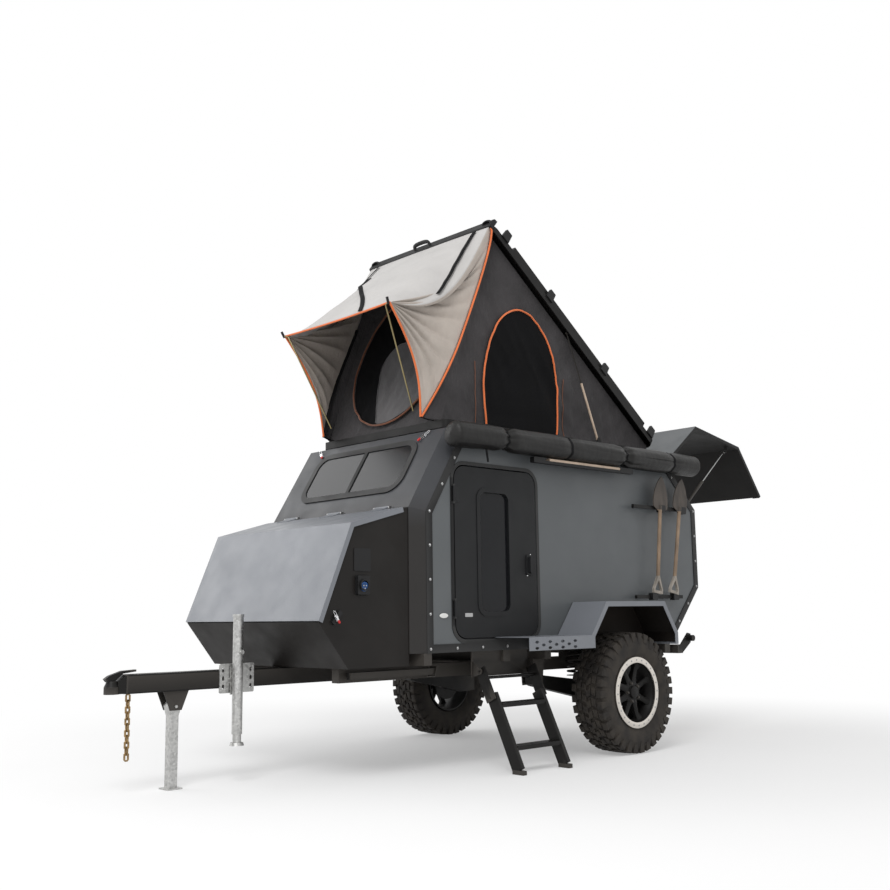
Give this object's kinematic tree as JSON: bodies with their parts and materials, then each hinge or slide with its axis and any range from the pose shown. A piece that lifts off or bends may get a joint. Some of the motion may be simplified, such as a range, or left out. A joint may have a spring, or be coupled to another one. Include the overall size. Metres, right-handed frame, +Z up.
{
  "type": "camper trailer",
  "caption": "Small off-road camper trailer with an opened rear hatch, a raised hard-lid roof tent, a nose box, side doors and a fold-down ladder.",
  "frame": {"origin": "centre of the coupling's ball socket", "axes": "+Y rearwards along the drawbar, +X to the trailer's left side, +Z up"},
  "size_m": [2.066, 5.1803, 3.3967],
  "materials": {
    "chassis": "satin black paint",
    "galvanised": "dull zinc",
    "body_grey": "satin grey coat",
    "body_black": "satin black coat",
    "lid_grey": "satin grey coat",
    "window_glass": "smoked pane",
    "tyre": "dusty rubber",
    "rim": "black centre, bright ring",
    "canvas": "dark canvas",
    "fly": "light polyester",
    "bag": "coated cloth",
    "wood": "birch ply",
    "foam": "woven cover",
    "plastic": "moulded",
    "lamp": "ribbed lens",
    "zinc": "zinc plate",
    "light": "anodised",
    "shovel": "worn steel"
  },
  "bodies": {
    "trailer": {"chassis_frame": "chassis", "cross_members": "chassis", "chassis_brackets": "chassis", "drawbar": "chassis", "coupling": "chassis", "safety_chain": "zinc", "jack_bracket": "galvanised", "nose_box": "body_black", "nose_hinge_pins": "zinc", "nose_fittings": "plastic", "front_panel": "body_black", "front_window_frame": "body_black", "front_window_glass": "window_glass", "side_wall_left": "body_grey", "side_wall_right": "body_grey", "side_trim": "body_black", "roof_panel": "body_black", "floor_panel": "body_black", "galley_cabinet": "wood", "mattress": "foam", "fender_left": "lid_grey", "fender_right": "lid_grey", "suspension_arms": "chassis", "dampers": "chassis", "tent_base": "body_black", "tent_fabric": "canvas", "tent_fly": "fly", "awning_rail": "body_black", "awning_bag": "bag", "light_bar": "light", "shovel_rack": "body_black", "shovels": "shovel", "rear_bumper": "chassis", "tail_lamps": "lamp"},
    "nose_lid": {"nose_lid": "lid_grey"},
    "door_left": {"door_left": "body_black", "door_glass_left": "window_glass"},
    "door_right": {"door_right": "body_black", "door_glass_right": "window_glass"},
    "hatch": {"hatch_skin": "body_grey", "hatch_frame": "body_black"},
    "hatch_barrels": {"hatch_strut_barrels": "chassis"},
    "hatch_rods": {"hatch_strut_rods": "zinc"},
    "tent_lid": {"tent_lid": "body_black"},
    "tent_barrels": {"tent_strut_barrels": "light"},
    "tent_rods": {"tent_strut_rods": "chassis"},
    "drop_leg": {"drop_leg": "galvanised"},
    "jack_tube": {"jack_tube": "galvanised"},
    "jack_ram": {"jack_ram": "galvanised"},
    "wheel_left": {"tyre_left": "tyre", "rim_left": "rim"},
    "wheel_right": {"tyre_right": "tyre", "rim_right": "rim"},
    "ladder_arms": {"ladder_arms": "chassis"},
    "ladder_steps": {"ladder_steps": "chassis"},
    "steady_front_left": {"corner_steady_front_left": "galvanised"},
    "steady_front_right": {"corner_steady_front_right": "galvanised"},
    "steady_rear_left": {"corner_steady_rear_left": "galvanised"},
    "steady_rear_right": {"corner_steady_rear_right": "galvanised"}
  },
  "joints": [
    {"name": "wheel_spin_left", "type": "hinge", "parent": "trailer", "child": "wheel_left", "pos_m": [0.863, 3.1, -0.15], "axis": [1, 0, 0], "continuous": true},
    {"name": "wheel_spin_right", "type": "hinge", "parent": "trailer", "child": "wheel_right", "pos_m": [-0.863, 3.1, -0.15], "axis": [1, 0, 0], "continuous": true},
    {"name": "door_swing_left", "type": "hinge", "parent": "trailer", "child": "door_left", "pos_m": [0.735, 1.737, 0.72], "axis": [0, 0, -1], "range_deg": [0, 95]},
    {"name": "door_swing_right", "type": "hinge", "parent": "trailer", "child": "door_right", "pos_m": [-0.735, 1.737, 0.72], "axis": [0, 0, 1], "range_deg": [0, 95]},
    {"name": "nose_lid_lift", "type": "hinge", "parent": "trailer", "child": "nose_lid", "pos_m": [0, 1.428, 0.975], "axis": [-1, 0, 0], "range_deg": [0, 60]},
    {"name": "hatch_lift", "type": "hinge", "parent": "trailer", "child": "hatch", "pos_m": [0, 3.88199, 1.43711], "axis": [1, 0, 0], "range_deg": [-80, 0]},
    {"name": "hatch_barrel_swing", "type": "hinge", "parent": "trailer", "child": "hatch_barrels", "pos_m": [0, 4.1, 1.061], "axis": [1, 0, 0], "range_deg": [-119.65, 0]},
    {"name": "hatch_rod_slide", "type": "slide", "parent": "hatch_barrels", "child": "hatch_rods", "axis": [0, 0.7744, 0.6326], "range_m": [-0.3767, 0]},
    {"name": "tent_lid_lift", "type": "hinge", "parent": "trailer", "child": "tent_lid", "pos_m": [0, 3.9, 1.541], "axis": [1, 0, 0], "range_deg": [0, 37.5], "deforming": ["tent_fabric", "tent_fly"]},
    {"name": "tent_barrel_swing", "type": "hinge", "parent": "trailer", "child": "tent_barrels", "pos_m": [0, 3.28, 1.55], "axis": [1, 0, 0], "range_deg": [0, 66.95]},
    {"name": "tent_rod_slide", "type": "slide", "parent": "tent_barrels", "child": "tent_rods", "axis": [0, -0.3833, 0.9236], "range_m": [-0.22565, 0]},
    {"name": "drop_leg_fold", "type": "hinge", "parent": "trailer", "child": "drop_leg", "pos_m": [0, 0.35, -0.105], "axis": [1, 0, 0], "range_deg": [0, 90]},
    {"name": "jack_swivel", "type": "hinge", "parent": "trailer", "child": "jack_tube", "pos_m": [0.096, 0.69, 0.015], "axis": [1, 0, 0], "range_deg": [0, 90]},
    {"name": "jack_screw", "type": "slide", "parent": "jack_tube", "child": "jack_ram", "axis": [0, 0, -1], "range_m": [-0.04, 0.2]},
    {"name": "ladder_swing", "type": "hinge", "parent": "trailer", "child": "ladder_arms", "pos_m": [0.76, 2.131, 0.028], "axis": [0, -1, 0], "range_deg": [0, 64]},
    {"name": "ladder_fold", "type": "hinge", "parent": "ladder_arms", "child": "ladder_steps", "pos_m": [0.83161, 2.131, -0.12], "axis": [0, 1, 0], "range_deg": [0, 115]},
    {"name": "steady_fold_front_left", "type": "hinge", "parent": "trailer", "child": "steady_front_left", "pos_m": [0.572, 1.11, 0.033], "axis": [-1, 0, 0], "range_deg": [0, 70.7]},
    {"name": "steady_fold_front_right", "type": "hinge", "parent": "trailer", "child": "steady_front_right", "pos_m": [-0.572, 1.11, 0.033], "axis": [-1, 0, 0], "range_deg": [0, 70.7]},
    {"name": "steady_fold_rear_left", "type": "hinge", "parent": "trailer", "child": "steady_rear_left", "pos_m": [0.572, 3.85, 0.033], "axis": [1, 0, 0], "range_deg": [0, 70.7]},
    {"name": "steady_fold_rear_right", "type": "hinge", "parent": "trailer", "child": "steady_rear_right", "pos_m": [-0.572, 3.85, 0.033], "axis": [1, 0, 0], "range_deg": [0, 70.7]}
  ],
  "couplings": [
    {"joint": "hatch_barrel_swing", "follows": "hatch_lift", "ratio": 1.4955},
    {"joint": "hatch_rod_slide", "follows": "hatch_lift", "m_per_rad": 0.26965},
    {"joint": "tent_barrel_swing", "follows": "tent_lid_lift", "ratio": 1.7849},
    {"joint": "tent_rod_slide", "follows": "tent_lid_lift", "m_per_rad": -0.34447}
  ]
}
